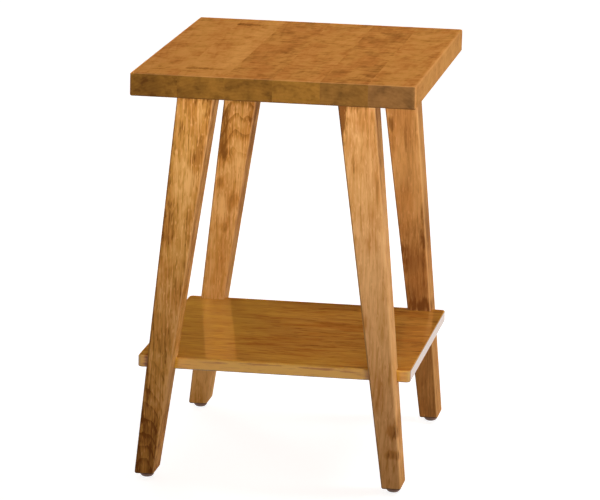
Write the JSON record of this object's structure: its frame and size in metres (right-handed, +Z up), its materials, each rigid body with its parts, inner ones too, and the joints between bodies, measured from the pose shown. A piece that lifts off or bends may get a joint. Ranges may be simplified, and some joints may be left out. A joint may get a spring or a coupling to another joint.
{
  "type": "end table with shelf",
  "caption": "Small rectangular wooden end table with a thick glued-up top, splayed tapered legs, a low shelf housed between the legs and nailed floor glides.",
  "frame": {"origin": "on the floor, below the middle of the top", "axes": "+Z up, +X to the right seen from the front, -Y towards the front (a narrow side of the top)"},
  "size_m": [0.43, 0.588, 0.635],
  "materials": {
    "stained_top": "stained hardwood, satin lacquer",
    "stained_leg": "stained hardwood, satin lacquer",
    "stained_shelf": "stained hardwood, semi-gloss lacquer",
    "raw_dowel": "unfinished turned hardwood",
    "glide_plastic": "dark brown moulded plastic",
    "nail_steel": "bright drawn steel"
  },
  "bodies": {
    "root": {"top_board_1": "stained_top", "top_board_2": "stained_top", "top_board_3": "stained_top", "top_board_4": "stained_top", "top_board_5": "stained_top", "top_board_6": "stained_top", "shelf_board_1": "stained_shelf", "shelf_board_2": "stained_shelf", "shelf_board_3": "stained_shelf", "shelf_board_4": "stained_shelf", "front_left_leg": "stained_leg", "front_left_leg_dowel_1": "raw_dowel", "front_left_leg_dowel_2": "raw_dowel", "front_left_shelf_dowel": "raw_dowel", "front_left_glide": "glide_plastic", "front_left_glide_nail": "nail_steel", "front_right_leg": "stained_leg", "front_right_leg_dowel_1": "raw_dowel", "front_right_leg_dowel_2": "raw_dowel", "front_right_shelf_dowel": "raw_dowel", "front_right_glide": "glide_plastic", "front_right_glide_nail": "nail_steel", "back_left_leg": "stained_leg", "back_left_leg_dowel_1": "raw_dowel", "back_left_leg_dowel_2": "raw_dowel", "back_left_shelf_dowel": "raw_dowel", "back_left_glide": "glide_plastic", "back_left_glide_nail": "nail_steel", "back_right_leg": "stained_leg", "back_right_leg_dowel_1": "raw_dowel", "back_right_leg_dowel_2": "raw_dowel", "back_right_shelf_dowel": "raw_dowel", "back_right_glide": "glide_plastic", "back_right_glide_nail": "nail_steel"}
  },
  "joints": []
}
